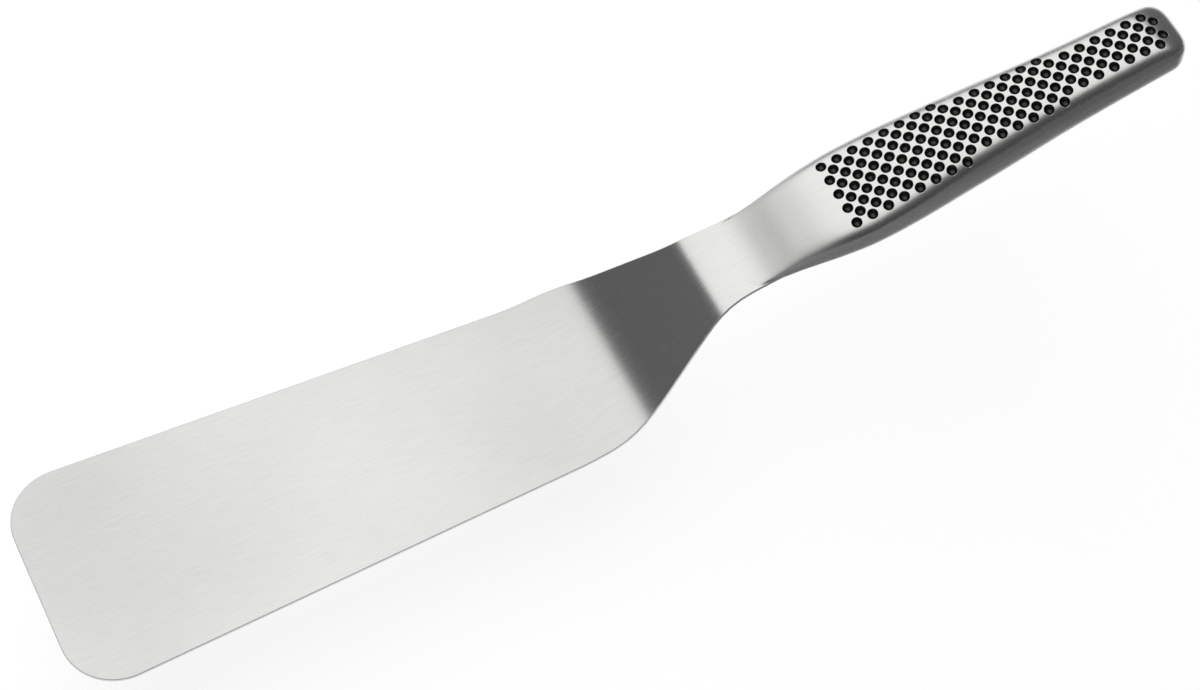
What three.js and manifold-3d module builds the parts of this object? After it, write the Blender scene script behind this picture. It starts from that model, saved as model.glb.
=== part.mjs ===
// A flexible spatula: a cranked blade of spring-tempered steel sheet, welded into a hollow steel handle.
// Millimetres. +X runs from the blade's front edge towards the handle's butt, +Y runs across, +Z is up.
// The flat underside of the blade lies on Z = 0, and the origin is below the middle of the whole length.

import * as THREE from 'three';
import { mergeGeometries, mergeVertices } from 'three/addons/utils/BufferGeometryUtils.js';
import Module from 'manifold-3d';

const wasm = await Module();
wasm.setup();

// Blade outline, measured along the flat blank before it is bent
const sheetThickness = 1;
const bladeFrontWidth = 58;
const bladeRearWidth = 46.4;
const bladeLength = 144.4;
const frontCornerRadius = 14;
const rearCornerRun = 12;
const shankTaperEnd = 182.2;
const neckWidth = 20.8;
const neckCornerRun = 18;

// Bends of the blank: radii are on the upper face, angles are from the blade's plane
const flatLength = 128.8;
const shankBendRadius = 40;
const shankAngle = THREE.MathUtils.degToRad(40.77);
const shankFlatLength = 19.46;
const neckBendRadius = 20.5;
const neckAngle = THREE.MathUtils.degToRad(12.8);
const neckFlatLength = 11.12;

// Tang: the narrow tongue of the blank inside the handle
const tangWidth = 16;
const tangLength = 26;
const tangCornerRadius = 4;
const shoulderRun = 0.8;

// Handle, measured from its mouth along the parting line of the two shells
const handleLength = 116.4;
const swellMiddle = 7;
const swellEnd = 14;
const gripFront = 25;
const gripMiddle = 55;
const gripRear = 82.6;
const gripFrontWidth = 25.5;
const gripMiddleWidth = 22.5;
const gripRearWidth = 18.5;
const buttWidth = 16.1;
const mouthCrown = 2.1;
const swellMiddleCrown = 4.1;
const swellEndCrown = 4.95;
const gripFrontCrown = 5.2;
const gripMiddleCrown = 7.1;
const buttCrown = 5.8;
const mouthBelly = 2.3;
const gripFrontBelly = 7.5;
const gripMiddleBelly = 8.9;
const buttBelly = 7.9;
const crownSquareness = 4.5;
const bellySquareness = 3.4;
const buttRadius = 4.5;
const buttCrownRun = 12;
const wall = 1.2;
const cavityStart = 10;

// Welds: a strip as thick as the sheet round the parting line, and fillets above and below the neck
const mouthBlendLength = 8;
const mouthWeldLength = 5;
const fitClearance = 0.2;

// Grip dimples: a staggered field of small cones pressed into both broad faces
const dimpleDiameter = 2.65;
const dimpleDepth = 0.8;
const dimplePitch = 4.4;
const dimpleEdgeMargin = 2.55;
const dimpleFieldStart = 21;
const dimpleButtMargin = 4.7;

// Facets
const sectionQuarterSteps = 7;
const handleSteps = 26;
const buttSteps = 7;
const dimpleSides = 7;
const flatSteps = 4;
const bendSteps = 10;
const cornerSteps = 8;

// Half the size of the blocks that cut the handle apart, well beyond it on every side
const cuttingReach = 2 * handleLength;

// Lengthwise shape of the handle, as (position, value) stations from the bare neck to the butt
const sheetHalf = sheetThickness / 2;
const handleHalfWidths = [
  [-mouthBlendLength, neckWidth / 2],
  [0, neckWidth / 2],
  [gripFront, gripFrontWidth / 2],
  [gripMiddle, gripMiddleWidth / 2],
  [gripRear, gripRearWidth / 2],
  [handleLength, buttWidth / 2],
];
const crownHeights = [
  [-2 * mouthBlendLength, sheetHalf],
  [-mouthBlendLength, sheetHalf],
  [0, mouthCrown],
  [swellMiddle, swellMiddleCrown],
  [swellEnd, swellEndCrown],
  [gripFront, gripFrontCrown],
  [gripMiddle, gripMiddleCrown],
  [handleLength, buttCrown],
];
const bellyDepths = [
  [-2 * mouthBlendLength, sheetHalf],
  [-mouthBlendLength, sheetHalf],
  [0, mouthBelly],
  [gripFront, gripFrontBelly],
  [gripMiddle, gripMiddleBelly],
  [handleLength, buttBelly],
];

// Smooth curve through a few (position, value) stations, level with the chords beside each station
function smoothProfile(stations, position) {
  const last = stations.length - 1;
  let index = 0;
  while (index < last - 1 && position > stations[index + 1][0]) {
    index += 1;
  }
  const [from, to] = [stations[index], stations[index + 1]];
  const before = stations[Math.max(index - 1, 0)];
  const after = stations[Math.min(index + 2, last)];
  const span = to[0] - from[0];
  const slopeFrom = (to[1] - before[1]) / (to[0] - before[0]);
  const slopeTo = (after[1] - from[1]) / (after[0] - from[0]);
  const t = (position - from[0]) / span;
  const leave = (1 + 2 * t) * (1 - t) ** 2 * from[1] + t * (1 - t) ** 2 * span * slopeFrom;
  const arrive = t ** 2 * (3 - 2 * t) * to[1] + t ** 2 * (t - 1) * span * slopeTo;
  return leave + arrive;
}

// Closed solid through rings of points that all have the same count, with a flat cap at each end
function loft(rings) {
  const count = rings[0].length;
  const end = (rings.length - 1) * count;
  const triangles = [];
  for (let ring = 0; ring < end; ring += count) {
    for (let k = 0; k < count; k += 1) {
      const a = ring + k;
      const b = ring + (k + 1) % count;
      triangles.push(a, b, b + count, a, b + count, a + count);
    }
  }
  for (let k = 1; k + 1 < count; k += 1) {
    triangles.push(0, k + 1, k);
    triangles.push(end, end + k, end + k + 1);
  }
  const geometry = new THREE.BufferGeometry().setFromPoints(rings.flat());
  geometry.setIndex(triangles);
  return geometry;
}

// Evenly spaced values from one end to the other
function steps(from, to, count) {
  return Array.from({ length: count + 1 }, (unused, k) => from + (to - from) * k / count);
}

function solidOf(geometry) {
  const bare = geometry.clone();
  bare.deleteAttribute('normal');
  bare.deleteAttribute('uv');
  const merged = mergeVertices(bare);
  const vertProperties = new Float32Array(merged.attributes.position.array);
  const triVerts = new Uint32Array(merged.index.array);
  return new wasm.Manifold(new wasm.Mesh({ numProp: 3, vertProperties, triVerts }));
}

function geometryOf(solid) {
  const mesh = solid.getMesh();
  const geometry = new THREE.BufferGeometry();
  geometry.setAttribute('position', new THREE.BufferAttribute(mesh.vertProperties, 3));
  geometry.setIndex(new THREE.BufferAttribute(mesh.triVerts, 1));
  geometry.computeVertexNormals();
  return geometry;
}

// Block for cutting, given by its ranges along the handle, in height and across
function cuttingBlock(lengths, heights, across = [-cuttingReach, cuttingReach]) {
  const ranges = [lengths, across, heights];
  const geometry = new THREE.BoxGeometry(...ranges.map(([from, to]) => to - from));
  geometry.translate(...ranges.map(([from, to]) => (from + to) / 2));
  return solidOf(geometry);
}

// Middle line of the bent sheet, as straight and bent stretches
const shankBendMiddle = shankBendRadius + sheetHalf;
const neckBendMiddle = neckBendRadius - sheetHalf;
const stretches = [
  { length: flatLength, turn: 0 },
  { length: shankBendMiddle * shankAngle, turn: shankAngle },
  { length: shankFlatLength, turn: 0 },
  { length: neckBendMiddle * (shankAngle - neckAngle), turn: neckAngle - shankAngle },
  { length: neckFlatLength + tangLength, turn: 0 },
];
const shankBendEnd = flatLength + stretches[1].length;
const neckBendStart = shankBendEnd + shankFlatLength;
const neckBendEnd = neckBendStart + stretches[3].length;
const mouthPosition = neckBendEnd + neckFlatLength;
const tangEnd = mouthPosition + tangLength;

// Point and direction of the sheet's middle line at a length along the blank
function sheetLine(position) {
  const point = new THREE.Vector2(0, sheetHalf);
  let angle = 0;
  let left = position;
  for (const { length, turn } of stretches) {
    const run = Math.min(left, length);
    const bend = turn * run / length;
    const chord = bend === 0 ? run : 2 * run / bend * Math.sin(bend / 2);
    point.x += chord * Math.cos(angle + bend / 2);
    point.y += chord * Math.sin(angle + bend / 2);
    angle += bend;
    left -= run;
  }
  return { point, angle };
}

// Half width of the blank: straight edges with rounded corners between them
function sheetHalfWidth(position) {
  if (position > mouthPosition - fitClearance - shoulderRun) {
    return tangHalfWidth(position);
  }
  const bladeSlope = (bladeRearWidth - bladeFrontWidth) / 2 / bladeLength;
  const shankSlope = (neckWidth - bladeRearWidth) / 2 / (shankTaperEnd - bladeLength);
  const rounded = (corner, change, run) => {
    const into = THREE.MathUtils.clamp(position - corner + run / 2, 0, run);
    return change * (into ** 2 / (2 * run) + Math.max(position - corner - run / 2, 0));
  };
  const edge = bladeFrontWidth / 2 + bladeSlope * position
    + rounded(bladeLength, shankSlope - bladeSlope, rearCornerRun)
    + rounded(shankTaperEnd, -shankSlope, neckCornerRun);
  const corner = Math.max(frontCornerRadius - position, 0);
  return edge - frontCornerRadius + Math.sqrt(frontCornerRadius ** 2 - corner ** 2);
}

// Half width of the tang, from its shoulders to its rounded end
function tangHalfWidth(position) {
  const shoulder = mouthPosition - fitClearance - position;
  const neckShare = THREE.MathUtils.clamp(shoulder / shoulderRun, 0, 1);
  const corner = Math.max(tangCornerRadius - (tangEnd - position), 0);
  const rounding = tangCornerRadius - Math.sqrt(tangCornerRadius ** 2 - corner ** 2);
  return THREE.MathUtils.lerp(tangWidth, neckWidth, neckShare) / 2 - rounding;
}

function sheetRing(position) {
  const { point, angle } = sheetLine(position);
  const halfWidth = sheetHalfWidth(position);
  const rise = new THREE.Vector2(-Math.sin(angle), Math.cos(angle)).multiplyScalar(sheetHalf);
  return [[-1, -1], [1, -1], [1, 1], [-1, 1]].map(([side, face]) => new THREE.Vector3(
    point.x + face * rise.x,
    side * halfWidth,
    point.y + face * rise.y,
  ));
}

function bladeGeometry() {
  const quarterTurn = steps(0, Math.PI / 2, cornerSteps);
  const shoulderStart = mouthPosition - fitClearance - shoulderRun;
  const positions = [
    ...quarterTurn.map((turn) => frontCornerRadius * (1 - Math.cos(turn))),
    ...steps(frontCornerRadius, flatLength, flatSteps).slice(1),
    ...steps(flatLength, shankBendEnd, bendSteps).slice(1),
    ...steps(shankBendEnd, neckBendStart, flatSteps).slice(1),
    ...steps(neckBendStart, neckBendEnd, bendSteps).slice(1),
    ...steps(neckBendEnd, shoulderStart, flatSteps).slice(1),
    shoulderStart + shoulderRun,
    ...quarterTurn.map((turn) => tangEnd - tangCornerRadius * (1 - Math.sin(turn))),
  ];
  return loft(positions.map(sheetRing));
}

// How far the handle is drawn in where its butt rounds over, within a run from its end
function buttInset(position, run, inset) {
  const share = Math.max(position - handleLength + run, 0) / (run - inset);
  return inset + (buttRadius - inset) * (1 - Math.sqrt(Math.max(1 - share ** 2, 0)));
}

// Half width, height and depth of the handle's section, drawn in by an inset all round
function handleSizes(position, inset) {
  const side = buttInset(position, buttRadius, inset);
  return {
    halfWidth: smoothProfile(handleHalfWidths, position) - side,
    crown: smoothProfile(crownHeights, position) - buttInset(position, buttCrownRun, inset),
    belly: smoothProfile(bellyDepths, position) - side,
  };
}

// Superellipse section of the handle: a flat-topped crown above the parting line and a rounder belly below it
function handleRing(position, inset) {
  const { halfWidth, crown, belly } = handleSizes(position, inset);
  const count = 4 * sectionQuarterSteps;
  return Array.from({ length: count }, (unused, k) => {
    const turn = 2 * Math.PI * k / count;
    const [across, up] = [Math.cos(turn), Math.sin(turn)];
    const above = k <= count / 2;
    const power = 2 / (above ? crownSquareness : bellySquareness);
    const height = above ? crown : belly;
    const y = halfWidth * Math.sign(across) * Math.abs(across) ** power;
    const z = height * Math.sign(up) * Math.abs(up) ** power;
    return new THREE.Vector3(position, y, z);
  });
}

// Handle body from a start to the rounded butt, drawn in by an inset all round
function handleBody(start, inset) {
  const roundStart = handleLength - buttCrownRun;
  const positions = [
    ...steps(start, roundStart, handleSteps),
    ...steps(0, Math.PI / 2, buttSteps).slice(1).map((turn) => (
      roundStart + (buttCrownRun - inset) * Math.sin(turn)
    )),
  ];
  return solidOf(loft(positions.map((position) => handleRing(position, inset))));
}

// Cones of one grip field, each centred on the surface; side is 1 on the crown and -1 on the belly
function dimpleField(side) {
  const squareness = side > 0 ? crownSquareness : bellySquareness;
  const cone = new THREE.ConeGeometry(dimpleDiameter, 2 * dimpleDepth, dimpleSides);
  cone.rotateX(-side * Math.PI / 2);
  const cones = [];
  const halfPitch = dimplePitch / 2;
  const columns = Math.floor((handleLength - dimpleButtMargin - dimpleFieldStart) / halfPitch);
  const rows = Math.floor(gripFrontWidth / dimplePitch);
  for (let column = 0; column <= columns; column += 1) {
    const position = dimpleFieldStart + column * halfPitch;
    const { halfWidth, crown, belly } = handleSizes(position, 0);
    for (let row = -rows; row <= rows; row += 1) {
      const y = row * halfPitch;
      const staggered = (row + column) % 2 === 0;
      if (staggered && Math.abs(y) <= halfWidth - dimpleEdgeMargin) {
        const share = (1 - (Math.abs(y) / halfWidth) ** squareness) ** (1 / squareness);
        const surface = (side > 0 ? crown : belly) * share;
        cones.push(cone.clone().translate(position, y, side * surface));
      }
    }
  }
  return solidOf(mergeGeometries(cones));
}

// The handle's body without its hollow, which the parting line and the mouth divide into shells and welds
const hollowBody = handleBody(-mouthWeldLength, 0).subtract(handleBody(cavityStart, wall));
const behindMouth = [0, cuttingReach];
const seat = sheetHalf + fitClearance;

function halfHeights(side) {
  return side > 0 ? [seat, cuttingReach] : [-cuttingReach, -seat];
}

function shellGeometry(side) {
  const shell = hollowBody.intersect(cuttingBlock(behindMouth, halfHeights(side)));
  return geometryOf(shell.subtract(dimpleField(side)));
}

function seamWeldGeometry() {
  const strip = cuttingBlock(behindMouth, [-sheetHalf, sheetHalf]);
  const slotHalfWidth = tangWidth / 2 + fitClearance;
  const slotLengths = [-cuttingReach, tangLength + fitClearance];
  const slot = cuttingBlock(slotLengths, [-sheetThickness, sheetThickness], [-slotHalfWidth, slotHalfWidth]);
  return geometryOf(hollowBody.intersect(strip).subtract(slot));
}

function mouthWeldGeometry(side) {
  const beforeMouth = [-cuttingReach, -fitClearance];
  return geometryOf(hollowBody.intersect(cuttingBlock(beforeMouth, halfHeights(side))));
}

function steel(color, roughness) {
  return new THREE.MeshStandardMaterial({ color, roughness, metalness: 1 });
}

function piece(name, geometry, material) {
  const mesh = new THREE.Mesh(geometry, material);
  mesh.name = name;
  return mesh;
}

// The handle's frame sits on the neck's middle line at the mouth
const mouth = sheetLine(mouthPosition);
const handle = new THREE.Group();
handle.position.set(mouth.point.x, 0, mouth.point.y);
handle.rotation.y = -mouth.angle;
handle.add(
  piece('upper_shell', shellGeometry(1), steel(0xc8c8c6, 0.32)),
  piece('lower_shell', shellGeometry(-1), steel(0xc4c4c2, 0.34)),
  piece('seam_weld', seamWeldGeometry(), steel(0xbfbfbd, 0.36)),
  piece('mouth_weld_upper', mouthWeldGeometry(1), steel(0xc9c9c7, 0.33)),
  piece('mouth_weld_lower', mouthWeldGeometry(-1), steel(0xc1c1bf, 0.35)),
);

const spatula = new THREE.Group();
spatula.add(piece('blade', bladeGeometry(), steel(0xcfcfcd, 0.3)), handle);
const reach = new THREE.Box3().setFromObject(spatula, true);
spatula.position.x = -(reach.min.x + reach.max.x) / 2;

export default spatula;
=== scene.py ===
"""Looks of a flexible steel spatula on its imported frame: a cranked blade welded into a dimpled handle."""

import math

import bpy
import numpy as np
from mathutils import Matrix, Vector, geometry


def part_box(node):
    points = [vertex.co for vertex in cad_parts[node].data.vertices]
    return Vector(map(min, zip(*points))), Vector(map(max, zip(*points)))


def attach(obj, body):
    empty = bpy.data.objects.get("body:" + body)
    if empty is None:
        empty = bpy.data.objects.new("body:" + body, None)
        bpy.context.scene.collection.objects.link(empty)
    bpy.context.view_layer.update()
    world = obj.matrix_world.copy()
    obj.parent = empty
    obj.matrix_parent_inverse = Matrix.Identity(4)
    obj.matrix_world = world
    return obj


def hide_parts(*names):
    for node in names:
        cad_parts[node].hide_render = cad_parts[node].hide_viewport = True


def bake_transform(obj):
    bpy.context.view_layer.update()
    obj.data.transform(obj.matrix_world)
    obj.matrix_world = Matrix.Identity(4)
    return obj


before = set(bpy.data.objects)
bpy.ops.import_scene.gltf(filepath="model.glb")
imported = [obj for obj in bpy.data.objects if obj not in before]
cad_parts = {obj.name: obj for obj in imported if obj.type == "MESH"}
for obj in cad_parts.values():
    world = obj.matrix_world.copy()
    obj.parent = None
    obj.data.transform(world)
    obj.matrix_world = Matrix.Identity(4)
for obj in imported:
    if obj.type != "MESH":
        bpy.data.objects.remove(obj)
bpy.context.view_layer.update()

MM = 0.001

# Sheet blank of the blade, measured along its length before it is bent
SHEET_HALF = 0.5 * MM
SHEET_EDGE_RADIUS = 0.2 * MM
BLADE_FRONT_WIDTH = 58 * MM
BLADE_REAR_WIDTH = 46.4 * MM
BLADE_LENGTH = 144.4 * MM
FRONT_CORNER_RADIUS = 14 * MM
REAR_CORNER_RUN = 12 * MM
SHANK_TAPER_END = 182.2 * MM
NECK_WIDTH = 20.8 * MM
NECK_CORNER_RUN = 18 * MM
TANG_WIDTH = 16 * MM
TANG_LENGTH = 26 * MM
TANG_CORNER_RADIUS = 4 * MM

# Bends of the blank: radii on the upper face, angles from the blade's plane
FLAT_LENGTH = 128.8 * MM
SHANK_BEND_RADIUS = 40 * MM
SHANK_ANGLE = math.radians(40.77)
SHANK_FLAT_LENGTH = 19.46 * MM
NECK_BEND_RADIUS = 20.5 * MM
NECK_ANGLE = math.radians(12.8)
NECK_FLAT_LENGTH = 11.12 * MM

# Handle, measured from its mouth along the parting line of its shells, with tables of (place, value)
HANDLE_LENGTH = 116.4 * MM
NECK_START = -16 * MM
WELD_TOE = -10 * MM
SWELL_MIDDLE = 7 * MM
SWELL_END = 14 * MM
GRIP_FRONT = 25 * MM
GRIP_MIDDLE = 55 * MM
GRIP_REAR = 82.6 * MM
BUTT_RADIUS = 4.5 * MM
BUTT_CROWN_RUN = 12 * MM
SHELL_WALL = 1.2 * MM
CROWN_SQUARENESS = ((GRIP_FRONT, 4.5), (GRIP_MIDDLE, 3.8))
BELLY_SQUARENESS = 3.4
HALF_WIDTHS = (
    (NECK_START, NECK_WIDTH / 2),
    (0, NECK_WIDTH / 2),
    (GRIP_FRONT, 12.75 * MM),
    (GRIP_MIDDLE, 11.25 * MM),
    (GRIP_REAR, 9.25 * MM),
    (HANDLE_LENGTH, 8.05 * MM),
)
CROWN_HEIGHTS = (
    (NECK_START, SHEET_HALF),
    (WELD_TOE, SHEET_HALF),
    (WELD_TOE * 3 / 4, 0.63 * MM),
    (WELD_TOE / 2, 0.95 * MM),
    (WELD_TOE / 4, 1.44 * MM),
    (0, 2.1 * MM),
    (SWELL_MIDDLE, 4.1 * MM),
    (SWELL_END, 4.95 * MM),
    (GRIP_FRONT, 5.2 * MM),
    (GRIP_MIDDLE, 7.1 * MM),
    (HANDLE_LENGTH, 5.8 * MM),
)
BELLY_DEPTHS = (
    (NECK_START, SHEET_HALF),
    (WELD_TOE, SHEET_HALF),
    (WELD_TOE * 3 / 4, 0.65 * MM),
    (WELD_TOE / 2, 1.0 * MM),
    (WELD_TOE / 4, 1.57 * MM),
    (0, 2.3 * MM),
    (GRIP_FRONT, 7.5 * MM),
    (GRIP_MIDDLE, 8.9 * MM),
    (HANDLE_LENGTH, 7.9 * MM),
)

# Grip dimples: round bowls with a narrow bare rim, in a staggered field on both broad faces
DIMPLE_RADIUS = 1.32 * MM
DIMPLE_DEPTH = 0.8 * MM
DIMPLE_RIM = 0.1 * MM
DIMPLE_PITCH = 4.4 * MM
DIMPLE_EDGE_MARGIN = 2.55 * MM
DIMPLE_FIELD_START = 21 * MM
DIMPLE_BUTT_MARGIN = 4.7 * MM

# Mesh fineness
EDGE_STEPS = 4
CORNER_STEPS = 16
BLADE_STEP = 3 * MM
BLADE_ROWS = 9
SKIN_STEP = 1.1 * MM
SKIN_ROWS = 36
BUTT_STEPS = 10
CROWN_SHARE = 0.95
SLOPE_STEP = 0.001 * MM
DIMPLE_SIDES = 24
DIMPLE_RINGS = 6
BARE_RINGS = 1
FILL_CLEARANCE = 0.3 * MM
FILL_INSIDE_ONLY = 1
FILL_TOLERANCE = 1e-7

# Finish of the steel: scratches as (length, breadth, height), greys and roughness as (least, most)
FLAT_SCRATCH = (6 * MM, 0.6 * MM, 6 * MM)
ROUND_SCRATCH = (14 * MM, 0.3 * MM, 0.3 * MM)
SCRATCH_DEPTH = 0.05 * MM
SCRATCH_RELIEF = 0.004
LAY_MAP = "lay"
ANISOTROPY = 0.7
SCRATCH_NOISE = dict(Scale=1.0, Detail=2.0, Roughness=0.6)
CLOUD_NOISE = dict(noise_dimensions="4D", Detail=2.0, Roughness=0.45)
CLOUDS_PER_METRE = 9.0
CLOUD_SEED = 223.25
MARK_NOISE = dict(Detail=4.0, Roughness=0.6, Distortion=0.6)
MARK_SPAN = (0.6, 0.78)
MARKS_PER_METRE = 130.0
MARK_DULLNESS = 0.02
NOISE_SPAN = (0.3, 0.7)
BLADE_GREYS = (0.565, 0.79)
HANDLE_GREYS = (0.65, 0.745)
EDGE_GREYS = (0.64, 0.78)
SATIN = (0.26, 0.275)
DEBURRED = (0.35, 0.45)
BLADE_CLOUD_SHARE = 0.82
HANDLE_CLOUD_SHARE = 0.5

# Ground blend over the mouth, as (dullness starts, full, still full, ends) along the handle
GROUND_BLEND = (-9 * MM, -1 * MM, 8 * MM, 20 * MM)
BLEND_DULLNESS = 0.19

# Enamel in the dimples
ENAMEL_GREYS = (0.002, 0.006)
ENAMEL_GLOSS = (0.16, 0.24)
ENAMEL_NOISE = dict(Scale=2500.0, Detail=2.0)
ENAMEL_RELIEF = 0.1

# Studio, in metres, with levels in which 1 is white; the floor is clear of the blade at its lowest flex
CAMERA_PLACE = Vector((-179.23, -240.60, 520.31)) * MM
CAMERA_RIGHT = Vector((0.88545, -0.45679, 0.08561))
CAMERA_FORWARD = Vector((0.29417, 0.40827, -0.86416))
CAMERA_LENS = 72
CAMERA_SENSOR = 36
CAMERA_NEAREST = 10 * MM
SOFTBOX_LOW = (-1.8, -0.5)
SOFTBOX_HIGH = (1.3, 4.4)
SOFTBOX_HEIGHT = 2.0
SOFTBOX_POWER = 50.0
SOFTBOX_COLOUR = (1.0, 0.996, 0.976)
ROOM_FRONT_TO_BACK = (-1, 1)
ROOM_LEVELS = (0.06, 0.18)
FLOOR_REACH = 12
FLOOR_HEIGHT = -28 * MM
WALL_HEIGHT = 1.5
FLOOR_PAINT = 0.8
FLOOR_SHADE = 0.4
FLOOR_GLOW = 0.8
# Painted shade: a grey card that only reflections see, in place of the white floor below the handle, darker
# towards the butt
CARD_LOW = (0.03, -3.0)
CARD_HIGH = (1.5, -0.018)
CARD_HEIGHT = -0.05 * MM
CARD_SHADE_FADE = (0.09, 0.15)
CARD_SHADE_GREYS = (0.45, 0.27)
CARD_ROUGHNESS = 0.9

# The blank's stretches as (length of the middle line, turn)
STRETCHES = (
    (FLAT_LENGTH, 0),
    ((SHANK_BEND_RADIUS + SHEET_HALF) * SHANK_ANGLE, SHANK_ANGLE),
    (SHANK_FLAT_LENGTH, 0),
    ((NECK_BEND_RADIUS - SHEET_HALF) * (SHANK_ANGLE - NECK_ANGLE), NECK_ANGLE - SHANK_ANGLE),
    (NECK_FLAT_LENGTH + TANG_LENGTH, 0),
)
MOUTH = sum(length for length, turn in STRETCHES) - TANG_LENGTH
BLADE_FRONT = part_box("blade")[0].x


def unit(vectors):
    """Vectors brought to length one."""
    return vectors / np.linalg.norm(vectors, axis=-1, keepdims=True)


def stack(*parts):
    """Coordinates given one by one, as rows of points."""
    return np.stack(np.broadcast_arrays(*parts), axis=-1).astype(float)


def smooth_curve(stations, places):
    """Smooth curve through (place, value) stations, level with the chords beside each station."""
    at, values = np.array(stations).T
    count = len(at)
    before = np.maximum(np.arange(count) - 1, 0)
    after = np.minimum(np.arange(count) + 1, count - 1)
    slopes = (values[after] - values[before]) / (at[after] - at[before])
    index = np.clip(np.searchsorted(at, places) - 1, 0, count - 2)
    span = at[index + 1] - at[index]
    t = (places - at[index]) / span
    leave = (1 + 2 * t) * (1 - t) ** 2 * values[index] + t * (1 - t) ** 2 * span * slopes[index]
    arrive = t**2 * (3 - 2 * t) * values[index + 1] + t**2 * (t - 1) * span * slopes[index + 1]
    return leave + arrive


def triangulate(points, loops):
    """Triangles that fill closed loops of points, with the remaining points as corners inside them."""
    edges = [(int(a), int(b)) for loop in loops for a, b in zip(loop, np.roll(loop, -1))]
    spots = [Vector(point) for point in points / MM]
    filled = geometry.delaunay_2d_cdt(spots, edges, [], FILL_INSIDE_ONLY, FILL_TOLERANCE)
    _, _, faces, origins, *_ = filled
    return np.array([[origins[corner][0] for corner in face] for face in faces])


def make_piece(name, points, normals, lay, faces, materials, flat=(), finishes=None):
    """Mesh object with given smooth normals and flat closing faces, brushed along the lay's second axis."""
    mesh = bpy.data.meshes.new(name)
    everything = [list(map(int, face)) for face in [*faces, *flat]]
    mesh.from_pydata(points.tolist(), [], everything)
    for material in materials:
        mesh.materials.append(material)
    smooth = np.arange(len(everything)) < len(faces)
    mesh.polygons.foreach_set("use_smooth", smooth)
    if finishes is not None:
        index = np.concatenate([finishes, np.zeros(len(flat), int)])
        mesh.polygons.foreach_set("material_index", index.astype(np.int32))
    kept = [tuple(normals[corner]) for face in faces for corner in face]
    free = [(0, 0, 0) for face in flat for corner in face]
    mesh.normals_split_custom_set([*kept, *free])
    corners = np.zeros(len(mesh.loops), np.int32)
    mesh.loops.foreach_get("vertex_index", corners)
    mesh.uv_layers.new(name=LAY_MAP).uv.foreach_set("vector", lay[corners].astype(np.float32).ravel())
    mesh.update()
    piece = bpy.data.objects.new(name, mesh)
    bpy.context.scene.collection.objects.link(piece)
    return piece


# Blade


def sheet_line(along):
    """Place and slope of the blank's middle line in the frame, at lengths along it."""
    x = np.full_like(along, BLADE_FRONT)
    z = np.full_like(along, SHEET_HALF)
    slope = np.zeros_like(along)
    start = 0
    reached = 0
    for length, turn in STRETCHES:
        run = np.clip(along - start, 0, length)
        bend = turn * run / length
        chord = run * np.sinc(bend / math.tau)
        x += chord * np.cos(reached + bend / 2)
        z += chord * np.sin(reached + bend / 2)
        slope += bend
        start += length
        reached += turn
    return x, z, slope


def sheet_point(along):
    """Point of the blank's middle line in the frame, at one length along it."""
    x, z, slope = sheet_line(np.array([along]))
    return x[0], 0, z[0]


def sheet_half_width(along):
    """Half width of the blank before the tang: straight edges with rounded corners between them."""
    blade_slope = (BLADE_REAR_WIDTH - BLADE_FRONT_WIDTH) / 2 / BLADE_LENGTH
    shank_slope = (NECK_WIDTH - BLADE_REAR_WIDTH) / 2 / (SHANK_TAPER_END - BLADE_LENGTH)

    def rounded(corner, change, run):
        """A change of slope at a corner, spread over a run."""
        into = np.clip(along - corner + run / 2, 0, run)
        return change * (into**2 / (2 * run) + np.maximum(along - corner - run / 2, 0))

    edge = BLADE_FRONT_WIDTH / 2 + blade_slope * along
    edge += rounded(BLADE_LENGTH, shank_slope - blade_slope, REAR_CORNER_RUN)
    edge += rounded(SHANK_TAPER_END, -shank_slope, NECK_CORNER_RUN)
    into_corner = np.maximum(FRONT_CORNER_RADIUS - along, 0)
    return edge - FRONT_CORNER_RADIUS + np.sqrt(FRONT_CORNER_RADIUS**2 - into_corner**2)


def blade_outline():
    """Outline of the flat blank as (along, across) spots, anticlockwise from the middle of its front."""
    quarter = np.linspace(0, math.pi / 2, CORNER_STEPS)
    corner = FRONT_CORNER_RADIUS * (1 - np.cos(quarter))
    straight = np.linspace(FRONT_CORNER_RADIUS, MOUTH, round((MOUTH - FRONT_CORNER_RADIUS) / BLADE_STEP))
    along = np.concatenate([corner, straight[1:]])
    side = stack(along, -sheet_half_width(along))
    tang_end = MOUTH + TANG_LENGTH - TANG_CORNER_RADIUS * (1 - np.sin(quarter))
    tang_side = TANG_WIDTH / 2 - TANG_CORNER_RADIUS * (1 - np.cos(quarter))
    tang = np.vstack([[[MOUTH, -TANG_WIDTH / 2]], stack(tang_end, -tang_side)])
    front = stack(0, np.linspace(0, side[0, 1], BLADE_ROWS)[:-1])
    half = np.vstack([front, side, tang])
    return np.vstack([half, half[:0:-1] * (1, -1)])


def blade_fill():
    """Spots spread over the blank inside its outline, for even triangles on its bends."""
    along = np.arange(BLADE_STEP, MOUTH - BLADE_STEP / 2, BLADE_STEP / 2)
    shares = np.linspace(-1, 1, BLADE_ROWS + 2)[1:-1]
    return np.vstack([stack(place, shares * half) for place, half in zip(along, sheet_half_width(along))])


def edge_rings():
    """Rings round the blank's softened edge, from its lower face to its upper one, as (side, tilt)."""
    quarter = np.linspace(0, math.pi / 2, EDGE_STEPS + 1)
    return [(-1, -tilt) for tilt in quarter[::-1]] + [(1, tilt) for tilt in quarter]


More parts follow.
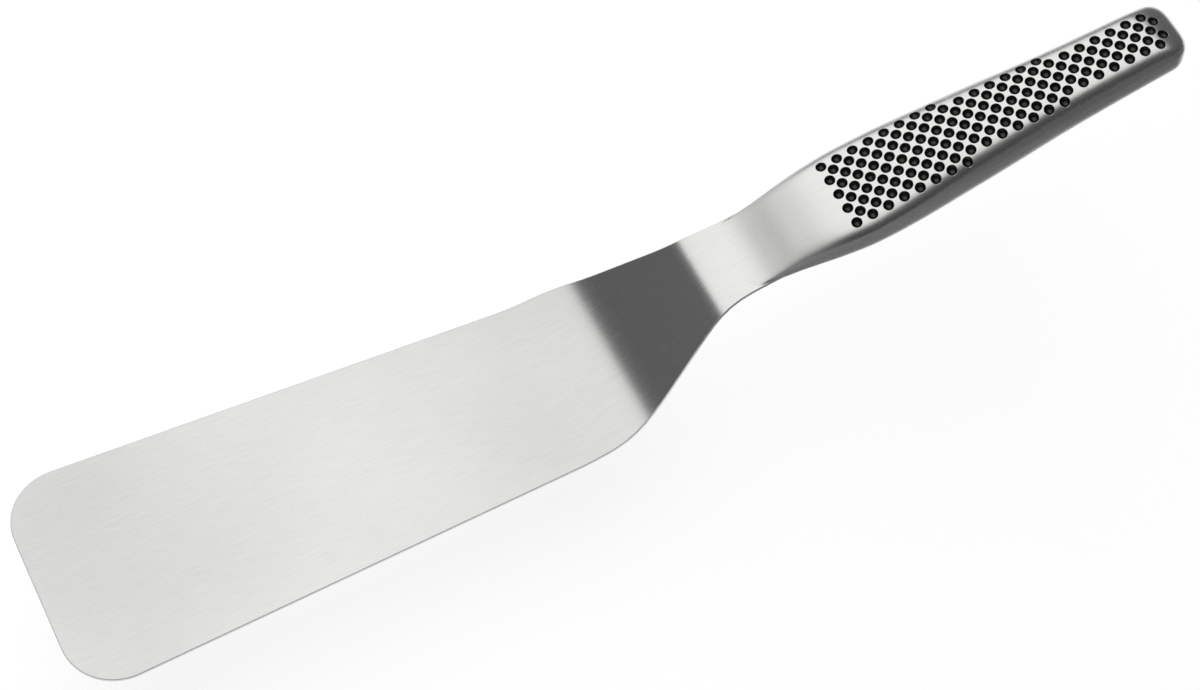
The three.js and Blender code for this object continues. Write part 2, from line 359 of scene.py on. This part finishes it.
def blank_surface(outline, fill, rings):
    """Spots, heights and normals of the flat blank: the rings of its edge, then its lower and upper face."""
    count = len(outline)
    tangent = unit(np.roll(outline, -1, axis=0) - np.roll(outline, 1, axis=0))
    outward = stack(tangent[:, 1], -tangent[:, 0])
    spots, heights, normals = [], [], []
    for side, tilt in rings:
        level = side * (SHEET_HALF - SHEET_EDGE_RADIUS) + SHEET_EDGE_RADIUS * math.sin(tilt)
        spots.append(outline - outward * SHEET_EDGE_RADIUS * (1 - math.cos(tilt)))
        heights.append(np.full(count, level))
        normals.append(np.column_stack([outward * math.cos(tilt), np.full(count, math.sin(tilt))]))
    for side in (-1, 1):
        spots.append(fill)
        heights.append(np.full(len(fill), side * SHEET_HALF))
        normals.append(np.tile((0, 0, side), (len(fill), 1)))
    return np.vstack(spots), np.concatenate(heights), np.vstack(normals)


def bend_blank(spots, heights, flat_normals):
    """Points and normals of the flat blank, bent round its middle line in the frame."""
    x, z, slope = sheet_line(spots[:, 0])
    forward = stack(np.cos(slope), 0, np.sin(slope))
    sideways = np.array((0, 1, 0))
    up = stack(-np.sin(slope), 0, np.cos(slope))
    points = stack(x, spots[:, 1], z) + up * heights[:, None]
    normals = forward * flat_normals[:, :1] + sideways * flat_normals[:, 1:2] + up * flat_normals[:, 2:]
    return points, normals


def make_blade(face_steel, edge_steel):
    """The bent sheet with softened edges."""
    outline, fill, rings = blade_outline(), blade_fill(), edge_rings()
    spots, heights, flat_normals = blank_surface(outline, fill, rings)
    points, normals = bend_blank(spots, heights, flat_normals)

    count = len(outline)
    top_start = (len(rings) - 1) * count
    fill_start = len(rings) * count
    turn = np.arange(count)
    following = np.roll(turn, -1)
    strip = stack(turn, following, following + count, turn + count).astype(int)
    rim = np.vstack([strip + ring * count for ring in range(len(rings) - 1)])
    face = triangulate(np.vstack([spots[top_start:fill_start], fill]), [turn])
    upper = np.where(face < count, face + top_start, face - count + fill_start + len(fill))
    lower = np.where(face < count, face, face - count + fill_start)[:, ::-1]
    finishes = np.repeat((1, 0), (len(rim), len(upper) + len(lower)))
    faces = [*rim, *upper, *lower]
    steels = (face_steel, edge_steel)
    return make_piece("blade_sheet", points, normals, spots[:, ::-1], faces, steels, finishes=finishes)


# Handle


def butt_inset(along, run):
    """How far the skin is drawn in where the butt rounds over, within a run from the handle's end."""
    share = np.clip(1 - (HANDLE_LENGTH - along) / run, 0, 1)
    return BUTT_RADIUS * (1 - np.sqrt(1 - share**2))


def handle_sizes(side, along):
    """Half width and height of the handle's section above (side 1) or below (side -1) its parting line."""
    heights, run = (CROWN_HEIGHTS, BUTT_CROWN_RUN) if side > 0 else (BELLY_DEPTHS, BUTT_RADIUS)
    half_width = smooth_curve(HALF_WIDTHS, along) - butt_inset(along, BUTT_RADIUS)
    return half_width, smooth_curve(heights, along) - butt_inset(along, run)


def squareness_of(side, along):
    """Power of the section's superellipse: the crown's shoulders are softer behind the front of the grip."""
    return np.interp(along, *zip(*CROWN_SQUARENESS)) if side > 0 else BELLY_SQUARENESS


def other_axis(share, power):
    """Share of one half axis of a superellipse at a share of the other."""
    return np.maximum(1 - np.abs(share) ** power, 0) ** (1 / power)


def skin_reach(side, along):
    """Run from the middle of the skin's broad face, across it and down its side, to the parting line."""
    power = squareness_of(side, along)
    half_width, height = handle_sizes(side, along)
    shoulder = height * other_axis(CROWN_SHARE, power)
    thin = half_width * other_axis(SHEET_HALF / height, power)
    return np.where(shoulder > SHEET_HALF, CROWN_SHARE * half_width + shoulder - SHEET_HALF, thin)


def skin(side, along, run):
    """Points and outward normals of a skin, in the handle's own frame, at runs across from its middle."""
    power = squareness_of(side, along)
    half_width, height = handle_sizes(side, along)
    shoulder = height * other_axis(CROWN_SHARE, power)
    past = np.maximum(np.abs(run) - CROWN_SHARE * half_width, 0)
    on_side = past > 0
    rise = np.where(on_side, shoulder - past, height * other_axis(run / half_width, power))
    across = np.where(on_side, np.sign(run) * half_width * other_axis(rise / height, power), run)
    points = stack(along, across, side * rise)

    before = np.minimum(along, HANDLE_LENGTH - 2 * SLOPE_STEP) - SLOPE_STEP
    width_before, height_before = handle_sizes(side, before)
    width_after, height_after = handle_sizes(side, before + 2 * SLOPE_STEP)
    widening = (width_after - width_before) / (2 * SLOPE_STEP)
    rising = (height_after - height_before) / (2 * SLOPE_STEP)
    width_share, height_share = np.abs(across) / half_width, rise / height
    slope_along = -(width_share**power) / half_width * widening - height_share**power / height * rising
    slope_across = np.sign(across) * width_share ** (power - 1) / half_width
    slope_up = side * height_share ** (power - 1) / height
    return points, unit(stack(slope_along, slope_across, slope_up))


def to_frame(local, place=True):
    """Points, or directions, of the handle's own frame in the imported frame."""
    turn = np.array(Matrix.Rotation(-NECK_ANGLE, 3, "Y"))
    return local @ turn.T + (np.array(sheet_point(MOUTH)) if place else 0)


def dimple_places(side):
    """Spots of one grip field's dimples: a staggered square pattern clear of the handle's edges."""
    half_pitch = DIMPLE_PITCH / 2
    columns = int((HANDLE_LENGTH - DIMPLE_BUTT_MARGIN - DIMPLE_FIELD_START) / half_pitch)
    rows = int(max(half_width for place, half_width in HALF_WIDTHS) / half_pitch)
    column, row = np.meshgrid(np.arange(columns + 1), np.arange(-rows, rows + 1), indexing="ij")
    places = stack(DIMPLE_FIELD_START + column * half_pitch, row * half_pitch).reshape(-1, 2)
    staggered = ((row + column) % 2 == 0).ravel()
    half_width = handle_sizes(side, places[:, 0])[0]
    return places[staggered & (np.abs(places[:, 1]) <= half_width - DIMPLE_EDGE_MARGIN)]


def skin_columns(start, end):
    """Places along the handle for the columns of a skin, closer together where the butt rounds over."""
    round_start = HANDLE_LENGTH - BUTT_RADIUS
    straight_end = min(end, round_start)
    straight = np.linspace(start, straight_end, round((straight_end - start) / SKIN_STEP) + 1)
    if end <= round_start:
        return straight
    turns = np.linspace(0, math.pi / 2, BUTT_STEPS + 1)[1:]
    return np.concatenate([straight, round_start + BUTT_RADIUS * np.sin(turns)])


def dimple_rings(dimples, squeeze, radius):
    """Rings of spots round the dimples, narrowed across where the skin slopes away."""
    around = np.linspace(0, math.tau, DIMPLE_SIDES, endpoint=False)
    circle = stack(np.cos(around), np.sin(around))
    return dimples[:, None] + radius * circle * stack(1, squeeze)[:, None]


def press_bowls(side, dimples, rims, first):
    """Bowls inside rim loops, numbered from first: their points, normals, spots, faces and finishes."""
    centres, axes = skin(side, dimples[:, 0], dimples[:, 1])
    points, normals, spots, faces, finishes = [], [], [], [], []
    outer = rims
    for step, turn in enumerate(np.linspace(0, math.pi / 2, DIMPLE_RINGS, endpoint=False)):
        places = dimple_rings(dimples, np.abs(axes[:, 2]), DIMPLE_RADIUS * math.cos(turn)).reshape(-1, 2)
        surface, outward = skin(side, places[:, 0], places[:, 1])
        inward = unit(np.repeat(centres, DIMPLE_SIDES, axis=0) - surface)
        points.append(surface - np.repeat(axes, DIMPLE_SIDES, axis=0) * DIMPLE_DEPTH * math.sin(turn))
        normals.append(unit(inward * math.cos(turn) + outward * math.sin(turn)))
        spots.append(places)
        inner = first + np.arange(len(places)).reshape(-1, DIMPLE_SIDES)
        wall = np.stack([outer, np.roll(outer, -1, axis=1), np.roll(inner, -1, axis=1), inner], axis=-1)
        faces.extend(wall.reshape(-1, 4))
        finishes.extend([int(step > BARE_RINGS)] * inner.size)
        outer = inner
        first += len(places)
    points.append(centres - axes * DIMPLE_DEPTH)
    normals.append(axes)
    spots.append(dimples)
    middle = np.broadcast_to(first + np.arange(len(dimples))[:, None], outer.shape)
    faces.extend(np.stack([outer, np.roll(outer, -1, axis=1), middle], axis=-1).reshape(-1, 3))
    finishes.extend([1] * outer.size)
    return np.vstack(points), np.vstack(normals), np.vstack(spots), faces, finishes


def skin_border(grid):
    """Spots round a skin's grid from its front row, and the loops of its front, back and parting line."""
    front, right, back, left = grid[0], grid[1:-1, -1], grid[-1, ::-1], grid[-2:0:-1, 0]
    border = np.vstack([front, right, back, left])
    edge = np.arange(len(border))
    row, length = len(front), len(right)
    right_edge = edge[row - 1:row + length + 1]
    left_edge = np.append(edge[2 * row + length - 1:], 0)
    parting = np.concatenate([right_edge[::-1], left_edge[::-1]])
    return border, [edge[:row][::-1], edge[row + length:2 * row + length][::-1], parting]


def clear_of_dimples(spots, dimples, squeeze):
    """The spots that lie outside the dimples' rims."""
    away = np.linalg.norm((spots[:, None] - dimples) / stack(1, squeeze), axis=2)
    return spots[away.min(axis=1, initial=np.inf) > DIMPLE_RADIUS + DIMPLE_RIM + FILL_CLEARANCE]


def around_bowls(triangles, rims, count):
    """The triangles between count spots that don't lie across a dimple's rim."""
    owner = np.full(count, -1)
    owner[rims] = np.arange(len(rims))[:, None]
    owners = owner[triangles]
    over_bowl = (owners[:, 0] >= 0) & (owners == owners[:, :1]).all(axis=1)
    return triangles[~over_bowl]


def make_skin(name, side, start, end, materials, dimples=np.zeros((0, 2))):
    """A closed half of the handle between two places along it, with its skin pressed into dimples."""
    columns = skin_columns(start, end)
    shares = np.linspace(-1, 1, SKIN_ROWS + 1)
    grid = stack(columns[:, None], shares * skin_reach(side, columns)[:, None])
    border, flat = skin_border(grid)
    squeeze = np.abs(skin(side, dimples[:, 0], dimples[:, 1])[1][:, 2])
    rings = dimple_rings(dimples, squeeze, DIMPLE_RADIUS + DIMPLE_RIM).reshape(-1, 2)
    fill = clear_of_dimples(grid[1:-1, 1:-1].reshape(-1, 2), dimples, squeeze)
    spots = np.vstack([border, rings, fill])
    points, normals = skin(side, spots[:, 0], spots[:, 1])

    rims = len(border) + np.arange(len(rings)).reshape(-1, DIMPLE_SIDES)
    triangles = triangulate(spots, [np.arange(len(border)), *rims])
    faces = list(around_bowls(triangles, rims, len(spots)))
    finishes = [0] * len(faces)
    if len(dimples):
        bowls = press_bowls(side, dimples, rims, len(spots))
        points, normals, spots = (np.vstack(pair) for pair in zip((points, normals, spots), bowls))
        faces += bowls[3]
        finishes += bowls[4]
    if side < 0:
        faces = [face[::-1] for face in faces]
        flat = [face[::-1] for face in flat]
    points, normals = to_frame(points), to_frame(normals, place=False)
    return make_piece(name, points, normals, spots[:, ::-1], faces, materials, flat, np.array(finishes))


def make_seam_weld(steel):
    """The strip between the shells, along both sides and round the butt, flush with their skins."""
    columns = skin_columns(0, HANDLE_LENGTH)
    half_width = handle_sizes(1, columns)[0]
    across_butt = np.linspace(1, -1, SKIN_ROWS + 1)[1:-1] * half_width[-1]
    outer = np.vstack([
        stack(columns, half_width),
        stack(HANDLE_LENGTH, across_butt),
        stack(columns, -half_width)[::-1],
    ])
    tangent = unit(np.gradient(outer, axis=0))
    outward = stack(-tangent[:, 1], tangent[:, 0])
    inner = outer - outward * SHELL_WALL
    corners = ((outer, SHEET_HALF), (outer, -SHEET_HALF), (inner, -SHEET_HALF), (inner, SHEET_HALF))
    points = np.vstack([np.column_stack([path, np.full(len(path), height)]) for path, height in corners])
    normals = np.tile(np.column_stack([outward, np.zeros(len(outward))]), (len(corners), 1))
    count = len(outer)
    step = np.arange(count - 1)
    strips = []
    for near, far in ((0, 1), (1, 2), (2, 3), (3, 0)):
        a, b = step + near * count, step + far * count
        strips.append(np.stack([a, a + 1, b + 1, b], axis=-1))
    first_end = np.arange(len(corners)) * count
    flat = [*np.vstack(strips[1:]), first_end, (first_end + count - 1)[::-1]]
    lay = stack(points[:, 2], np.tile(np.arange(count) * SKIN_STEP, len(corners)))
    points, normals = to_frame(points), to_frame(normals, place=False)
    return make_piece("seam_weld_strip", points, normals, lay, strips[0], (steel,), flat)


# Materials


def add_node(tree, kind, **values):
    """Shader node with its named settings and unlinked inputs filled in."""
    node = tree.nodes.new(kind)
    for name, value in values.items():
        if hasattr(node, name):
            setattr(node, name, value)
        else:
            node.inputs[name.replace("_", " ")].default_value = value
    return node


def map_range(tree, span, result=(0, 1), **values):
    """Map Range node from one (least, most) pair to another."""
    ends = dict(From_Min=span[0], From_Max=span[1], To_Min=result[0], To_Max=result[1])
    return add_node(tree, "ShaderNodeMapRange", **ends, **values)


def grey(level):
    """Opaque grey of one level."""
    return (level, level, level, 1)


def grey_mix(tree, greys):
    """Mix node between two greys."""
    tone = add_node(tree, "ShaderNodeMix", data_type="RGBA")
    tone.inputs["A"].default_value = grey(greys[0])
    tone.inputs["B"].default_value = grey(greys[1])
    return tone


def new_material(name):
    """Material with nodes, its node tree and its shader."""
    material = bpy.data.materials.new(name)
    material.use_nodes = True
    tree = material.node_tree
    return material, tree, tree.nodes["Principled BSDF"]


def new_group(name, vectors, numbers, results):
    """Shader node group with named inputs and outputs, and its two end nodes."""
    group = bpy.data.node_groups.new(name, "ShaderNodeTree")
    for socket in vectors:
        group.interface.new_socket(socket, in_out="INPUT", socket_type="NodeSocketVector")
    for socket in numbers:
        group.interface.new_socket(socket, in_out="INPUT", socket_type="NodeSocketFloat")
    for socket in results:
        group.interface.new_socket(socket, in_out="OUTPUT", socket_type="NodeSocketFloat")
    return group, group.nodes.new("NodeGroupInput"), group.nodes.new("NodeGroupOutput")


def brushed_grain():
    """Node group: fine scratches along the lay, soft clouding and faint handling marks of brushed steel."""
    numbers = ("Clouds Per Metre", "Cloud Seed", "Marks Per Metre")
    results = ("Scratches", "Clouds", "Marks")
    group, given, result = new_group("brushed_grain", ("Lay", "Scratch Size"), numbers, results)
    place = add_node(group, "ShaderNodeTexCoord")
    lay = add_node(group, "ShaderNodeMapping", vector_type="TEXTURE")
    scratches = add_node(group, "ShaderNodeTexNoise", **SCRATCH_NOISE)
    clouds = add_node(group, "ShaderNodeTexNoise", **CLOUD_NOISE)
    marks = add_node(group, "ShaderNodeTexNoise", **MARK_NOISE)
    rare = map_range(group, MARK_SPAN)
    link = group.links.new
    link(place.outputs["Object"], lay.inputs["Vector"])
    link(given.outputs["Lay"], lay.inputs["Rotation"])
    link(given.outputs["Scratch Size"], lay.inputs["Scale"])
    link(lay.outputs["Vector"], scratches.inputs["Vector"])
    link(place.outputs["Object"], clouds.inputs["Vector"])
    link(given.outputs["Clouds Per Metre"], clouds.inputs["Scale"])
    link(given.outputs["Cloud Seed"], clouds.inputs["W"])
    link(place.outputs["Object"], marks.inputs["Vector"])
    link(given.outputs["Marks Per Metre"], marks.inputs["Scale"])
    link(marks.outputs["Fac"], rare.inputs["Value"])
    link(scratches.outputs["Fac"], result.inputs["Scratches"])
    link(clouds.outputs["Fac"], result.inputs["Clouds"])
    link(rare.outputs["Result"], result.inputs["Marks"])
    return group


def ground_blend():
    """Node group: where the weld at the handle's mouth was ground down by hand and left less polished."""
    group, given, result = new_group("ground_blend", (), ("Dullness",), ("Roughness",))
    starts, full, still_full, ends = GROUND_BLEND
    place = add_node(group, "ShaderNodeUVMap", uv_map=LAY_MAP)
    parts = add_node(group, "ShaderNodeSeparateXYZ")
    rise = map_range(group, (starts, full), interpolation_type="SMOOTHSTEP")
    fall = map_range(group, (ends, still_full), interpolation_type="SMOOTHSTEP")
    here = add_node(group, "ShaderNodeMath", operation="MULTIPLY")
    amount = add_node(group, "ShaderNodeMath", operation="MULTIPLY")
    link = group.links.new
    link(place.outputs["UV"], parts.inputs["Vector"])
    link(parts.outputs["Y"], rise.inputs["Value"])
    link(parts.outputs["Y"], fall.inputs["Value"])
    link(rise.outputs["Result"], here.inputs[0])
    link(fall.outputs["Result"], here.inputs[1])
    link(here.outputs["Value"], amount.inputs[0])
    link(given.outputs["Dullness"], amount.inputs[1])
    link(amount.outputs["Value"], result.inputs["Roughness"])
    return group


def brushed_steel(name, grain, greys, polish, cloud_share, lay=0.0, scratch=FLAT_SCRATCH, blend=None):
    """Brushed steel between two greys and two roughnesses, with its scratches turned by lay about Y."""
    material, tree, shader = new_material(name)
    shader.inputs["Metallic"].default_value = 1.0
    shader.inputs["Anisotropic"].default_value = ANISOTROPY
    across = add_node(tree, "ShaderNodeTangent", direction_type="UV_MAP", uv_map=LAY_MAP)
    surface = add_node(tree, "ShaderNodeGroup", node_tree=grain)
    surface.inputs["Lay"].default_value = (0, -lay, 0)
    surface.inputs["Scratch Size"].default_value = scratch
    surface.inputs["Clouds Per Metre"].default_value = CLOUDS_PER_METRE
    surface.inputs["Cloud Seed"].default_value = CLOUD_SEED
    surface.inputs["Marks Per Metre"].default_value = MARKS_PER_METRE
    both = add_node(tree, "ShaderNodeMix", data_type="FLOAT", Factor=cloud_share)
    spread = map_range(tree, NOISE_SPAN)
    tone = grey_mix(tree, greys)
    rough = map_range(tree, NOISE_SPAN, polish)
    dull = add_node(tree, "ShaderNodeMath", operation="MULTIPLY_ADD")
    dull.inputs[1].default_value = MARK_DULLNESS
    bump = add_node(tree, "ShaderNodeBump", Strength=SCRATCH_RELIEF, Distance=SCRATCH_DEPTH)
    link = tree.links.new
    link(across.outputs["Tangent"], shader.inputs["Tangent"])
    link(surface.outputs["Scratches"], both.inputs["A"])
    link(surface.outputs["Clouds"], both.inputs["B"])
    link(both.outputs["Result"], spread.inputs["Value"])
    link(spread.outputs["Result"], tone.inputs["Factor"])
    link(tone.outputs["Result"], shader.inputs["Base Color"])
    link(surface.outputs["Scratches"], rough.inputs["Value"])
    link(surface.outputs["Marks"], dull.inputs[0])
    link(rough.outputs["Result"], dull.inputs[2])
    link(surface.outputs["Scratches"], bump.inputs["Height"])
    link(bump.outputs["Normal"], shader.inputs["Normal"])
    if blend is None:
        link(dull.outputs["Value"], shader.inputs["Roughness"])
        return material
    ground = add_node(tree, "ShaderNodeGroup", node_tree=blend)
    ground.inputs["Dullness"].default_value = BLEND_DULLNESS
    total = add_node(tree, "ShaderNodeMath", operation="ADD")
    link(dull.outputs["Value"], total.inputs[0])
    link(ground.outputs["Roughness"], total.inputs[1])
    link(total.outputs["Value"], shader.inputs["Roughness"])
    return material


def black_enamel():
    """Black enamel of the dimples, with a slight sheen and a faint orange-peel skin."""
    material, tree, shader = new_material("black_enamel")
    place = add_node(tree, "ShaderNodeTexCoord")
    peel = add_node(tree, "ShaderNodeTexNoise", **ENAMEL_NOISE)
    tone = grey_mix(tree, ENAMEL_GREYS)
    rough = map_range(tree, NOISE_SPAN, ENAMEL_GLOSS)
    bump = add_node(tree, "ShaderNodeBump", Strength=ENAMEL_RELIEF, Distance=SCRATCH_DEPTH)
    link = tree.links.new
    link(place.outputs["Object"], peel.inputs["Vector"])
    link(peel.outputs["Fac"], tone.inputs["Factor"])
    link(tone.outputs["Result"], shader.inputs["Base Color"])
    link(peel.outputs["Fac"], rough.inputs["Value"])
    link(rough.outputs["Result"], shader.inputs["Roughness"])
    link(peel.outputs["Fac"], bump.inputs["Height"])
    link(bump.outputs["Normal"], shader.inputs["Normal"])
    return material


# Studio


def make_camera():
    """The camera at the photograph's place."""
    camera = bpy.data.objects.new("camera", bpy.data.cameras.new("camera"))
    up = CAMERA_RIGHT.cross(CAMERA_FORWARD)
    axes = Matrix((CAMERA_RIGHT, up, -CAMERA_FORWARD)).transposed()
    camera.matrix_world = Matrix.LocRotScale(CAMERA_PLACE, axes.to_quaternion(), None)
    camera.data.lens = CAMERA_LENS
    camera.data.sensor_width = CAMERA_SENSOR
    camera.data.clip_start = CAMERA_NEAREST
    bpy.context.scene.collection.objects.link(camera)
    bpy.context.scene.camera = camera


def rectangle(low, high, height):
    """Corners of a level rectangle, anticlockwise."""
    (left, front), (right, back) = low, high
    return [(left, front, height), (right, front, height), (right, back, height), (left, back, height)]


def make_panels(name, corners, faces, material):
    """Flat panels of the studio."""
    mesh = bpy.data.meshes.new(name)
    mesh.from_pydata(corners, [], faces)
    mesh.materials.append(material)
    piece = bpy.data.objects.new(name, mesh)
    bpy.context.scene.collection.objects.link(piece)
    return piece


def make_floor():
    """Pale floor that takes a soft shadow, and low walls of the same white that the metal doesn't mirror."""
    material, tree, _ = new_material("white_floor")
    tree.nodes.clear()
    output = add_node(tree, "ShaderNodeOutputMaterial")
    path = add_node(tree, "ShaderNodeLightPath")
    seen = add_node(tree, "ShaderNodeMath", operation="ADD")
    shown = add_node(tree, "ShaderNodeMath", operation="ADD", use_clamp=True)
    paint = add_node(tree, "ShaderNodeBsdfDiffuse", Color=grey(FLOOR_PAINT))
    shadow = add_node(tree, "ShaderNodeBsdfDiffuse", Color=grey(FLOOR_SHADE))
    glow = add_node(tree, "ShaderNodeEmission", Strength=FLOOR_GLOW)
    white = add_node(tree, "ShaderNodeAddShader")
    choice = add_node(tree, "ShaderNodeMixShader")
    link = tree.links.new
    link(path.outputs["Is Camera Ray"], seen.inputs[0])
    link(path.outputs["Is Glossy Ray"], seen.inputs[1])
    link(seen.outputs["Value"], shown.inputs[0])
    link(path.outputs["Is Transmission Ray"], shown.inputs[1])
    link(shadow.outputs["BSDF"], white.inputs[0])
    link(glow.outputs["Emission"], white.inputs[1])
    link(shown.outputs["Value"], choice.inputs["Fac"])
    link(paint.outputs["BSDF"], choice.inputs[1])
    link(white.outputs["Shader"], choice.inputs[2])
    link(choice.outputs["Shader"], output.inputs["Surface"])
    ends = (-FLOOR_REACH, -FLOOR_REACH), (FLOOR_REACH, FLOOR_REACH)
    floor_corners = rectangle(*ends, FLOOR_HEIGHT)
    wall_corners = floor_corners + rectangle(*ends, WALL_HEIGHT)
    foot = np.arange(len(floor_corners))
    following = np.roll(foot, -1)
    walls = np.stack([foot, following, following + len(foot), foot + len(foot)], axis=-1).tolist()
    make_panels("floor", floor_corners, [foot.tolist()], material)
    low_walls = make_panels("low_walls", wall_corners, walls, material)
    low_walls.visible_glossy = False


def make_painted_shade_card():
    """Graduated grey card below and in front of the handle, which only reflections see: painted shade on the
    handle's side, darker towards the butt.
    """
    material, tree, shader = new_material("painted_shade_card")
    shader.inputs["Roughness"].default_value = CARD_ROUGHNESS
    place = add_node(tree, "ShaderNodeTexCoord")
    parts = add_node(tree, "ShaderNodeSeparateXYZ")
    fade = map_range(tree, CARD_SHADE_FADE, CARD_SHADE_GREYS)
    link = tree.links.new
    link(place.outputs["Object"], parts.inputs["Vector"])
    link(parts.outputs["X"], fade.inputs["Value"])
    link(fade.outputs["Result"], shader.inputs["Base Color"])
    corners = rectangle(CARD_LOW, CARD_HIGH, CARD_HEIGHT)
    card = make_panels("painted_shade_card", corners, [list(range(len(corners)))], material)
    card.visible_camera = False
    card.visible_shadow = False
    card.visible_diffuse = False


def make_softbox():
    """A broad softbox overhead."""
    (left, front), (right, back) = SOFTBOX_LOW, SOFTBOX_HIGH
    lamp = bpy.data.lights.new("softbox", "AREA")
    lamp.shape = "RECTANGLE"
    lamp.size = right - left
    lamp.size_y = back - front
    lamp.energy = SOFTBOX_POWER
    lamp.color = SOFTBOX_COLOUR
    softbox = bpy.data.objects.new("softbox", lamp)
    softbox.location = ((left + right) / 2, (front + back) / 2, SOFTBOX_HEIGHT)
    bpy.context.scene.collection.objects.link(softbox)


def make_room():
    """A dim room that is darkest in front."""
    world = bpy.data.worlds.new("dim_room")
    bpy.context.scene.world = world
    world.use_nodes = True
    tree = world.node_tree
    room = tree.nodes["Background"]
    room.inputs["Color"].default_value = grey(1)
    place = add_node(tree, "ShaderNodeTexCoord")
    parts = add_node(tree, "ShaderNodeSeparateXYZ")
    level = map_range(tree, ROOM_FRONT_TO_BACK, ROOM_LEVELS)
    link = tree.links.new
    link(place.outputs["Generated"], parts.inputs["Vector"])
    link(parts.outputs["Y"], level.inputs["Value"])
    link(level.outputs["Result"], room.inputs["Strength"])


def place_on_handle(piece, node):
    """Let a piece ride on the handle in place of its plain solid."""
    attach(piece, "handle")
    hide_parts(node)


make_camera()
make_softbox()
make_room()
make_floor()
make_painted_shade_card()

grain = brushed_grain()
ground = ground_blend()
handle_finish = (HANDLE_GREYS, SATIN, HANDLE_CLOUD_SHARE, NECK_ANGLE, ROUND_SCRATCH, ground)
blade_steel = brushed_steel("satin_blade_steel", grain, BLADE_GREYS, SATIN, BLADE_CLOUD_SHARE)
edge_steel = brushed_steel("deburred_edge_steel", grain, EDGE_GREYS, DEBURRED, HANDLE_CLOUD_SHARE)
handle_steel = brushed_steel("satin_handle_steel", grain, *handle_finish)
weld_steel = brushed_steel("ground_weld_steel", grain, *handle_finish)
enamel = black_enamel()

blade = make_blade(blade_steel, edge_steel)
sheet_point(MOUTH)
sheet_point(FLAT_LENGTH)
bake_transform(blade)
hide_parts("blade")

coats = (handle_steel, enamel)
weld_start = WELD_TOE - SKIN_STEP
for half, side in (("upper", 1), ("lower", -1)):
    shell = f"{half}_shell"
    weld = f"mouth_weld_{half}"
    shell_skin = make_skin(shell + "_skin", side, 0, HANDLE_LENGTH, coats, dimple_places(side))
    weld_skin = make_skin(weld + "_blend", side, weld_start, 0, (weld_steel,))
    place_on_handle(shell_skin, shell)
    place_on_handle(weld_skin, weld)
place_on_handle(make_seam_weld(weld_steel), "seam_weld")

bpy.context.scene.view_settings.view_transform = "Standard"
